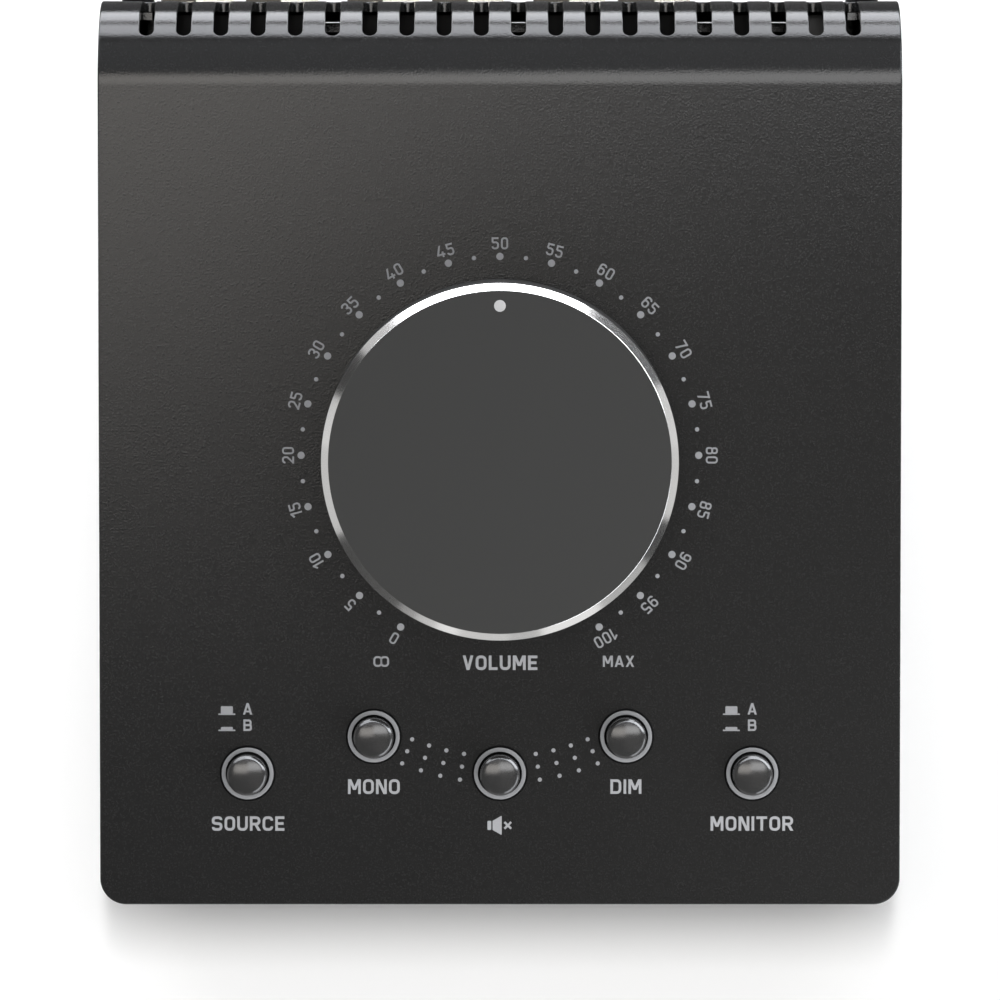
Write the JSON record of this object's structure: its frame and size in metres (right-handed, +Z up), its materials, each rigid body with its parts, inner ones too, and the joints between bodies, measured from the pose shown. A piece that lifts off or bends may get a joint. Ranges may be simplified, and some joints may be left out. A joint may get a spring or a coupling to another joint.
{
  "type": "desktop monitor controller",
  "caption": "Wedge-shaped desktop audio controller with a bent vented cover, a large volume knob, round push buttons in a row and jack sockets along the rear wall.",
  "frame": {"origin": "on the desk, under the middle of the outline", "axes": "+X to the right of the person using it, +Y to the rear wall with the sockets, +Z up"},
  "size_m": [0.132, 0.152, 0.0609],
  "materials": {
    "powder_coat": "fine-grain black powder coat, satin",
    "zinc_steel": "bright zinc plate",
    "black_steel": "black oxide",
    "circuit_board": "solder-masked glass-fibre laminate",
    "black_plastic": "moulded",
    "cable_sheath": "extruded PVC",
    "capacitor_sleeve": "shrink sleeve",
    "aluminium_shaft": "turned",
    "anodised_aluminium": "black anodised, bright-cut bevel",
    "pointer_silver": "silver inlay",
    "bezel_ring": "satin grey",
    "button_gloss": "polished",
    "switch_white": "moulded",
    "spring_steel": "drawn wire",
    "nickel_plate": "nickel plate",
    "foot_rubber": "moulded, matte"
  },
  "bodies": {
    "case": {"top_cover": "powder_coat", "side_frame": "powder_coat", "base_plate": "powder_coat", "cover_studs": "zinc_steel", "cover_nuts": "zinc_steel", "base_screws": "black_steel", "rear_screws": "black_steel", "main_board": "circuit_board", "control_board": "circuit_board", "main_spacers": "zinc_steel", "control_posts": "zinc_steel", "main_board_screws": "zinc_steel", "control_board_screws": "zinc_steel", "ribbon_headers": "black_plastic", "ribbon_cable": "cable_sheath", "capacitors": "capacitor_sleeve", "chips": "black_plastic", "pot_case": "black_plastic", "pot_bushing": "zinc_steel", "pot_washer": "zinc_steel", "pot_nut": "zinc_steel", "button_bezels": "bezel_ring", "switch_bodies": "black_plastic", "jack_washers": "nickel_plate", "jack_nuts": "nickel_plate", "mini_jack": "black_plastic", "power_inlet": "black_plastic", "power_pin": "nickel_plate", "foot_front_left": "foot_rubber", "foot_front_right": "foot_rubber", "foot_rear_left": "foot_rubber", "foot_rear_right": "foot_rubber", "monitor_b_left_jack": "black_plastic", "monitor_b_right_jack": "black_plastic", "monitor_a_left_jack": "black_plastic", "monitor_a_right_jack": "black_plastic", "source_a_left_jack": "black_plastic", "source_a_right_jack": "black_plastic", "source_spring": "spring_steel", "mono_spring": "spring_steel", "mute_spring": "spring_steel", "dim_spring": "spring_steel", "monitor_spring": "spring_steel"},
    "volume_knob": {"knob_cap": "anodised_aluminium", "knob_core": "black_plastic", "pointer_dot": "pointer_silver", "pot_shaft": "aluminium_shaft"},
    "source_push": {"source_button": "button_gloss", "source_plunger": "switch_white"},
    "mono_push": {"mono_button": "button_gloss", "mono_plunger": "switch_white"},
    "mute_push": {"mute_button": "button_gloss", "mute_plunger": "switch_white"},
    "dim_push": {"dim_button": "button_gloss", "dim_plunger": "switch_white"},
    "monitor_push": {"monitor_button": "button_gloss", "monitor_plunger": "switch_white"}
  },
  "joints": [
    {"name": "volume_turn", "type": "hinge", "parent": "case", "child": "volume_knob", "pos_m": [0, -0.00184, 0.03695], "axis": [0, -0.0586, 0.9983], "range_deg": [-150, 150]},
    {"name": "source_press", "type": "slide", "parent": "case", "child": "source_push", "axis": [0, 0.0586, -0.9983], "range_m": [0, 0.0025], "stiffness_N_per_m": 600, "deforming": ["source_spring"]},
    {"name": "mono_press", "type": "slide", "parent": "case", "child": "mono_push", "axis": [0, 0.0586, -0.9983], "range_m": [0, 0.0025], "stiffness_N_per_m": 600, "deforming": ["mono_spring"]},
    {"name": "mute_press", "type": "slide", "parent": "case", "child": "mute_push", "axis": [0, 0.0586, -0.9983], "range_m": [0, 0.0025], "stiffness_N_per_m": 600, "deforming": ["mute_spring"]},
    {"name": "dim_press", "type": "slide", "parent": "case", "child": "dim_push", "axis": [0, 0.0586, -0.9983], "range_m": [0, 0.0025], "stiffness_N_per_m": 600, "deforming": ["dim_spring"]},
    {"name": "monitor_press", "type": "slide", "parent": "case", "child": "monitor_push", "axis": [0, 0.0586, -0.9983], "range_m": [0, 0.0025], "stiffness_N_per_m": 600, "deforming": ["monitor_spring"]}
  ]
}
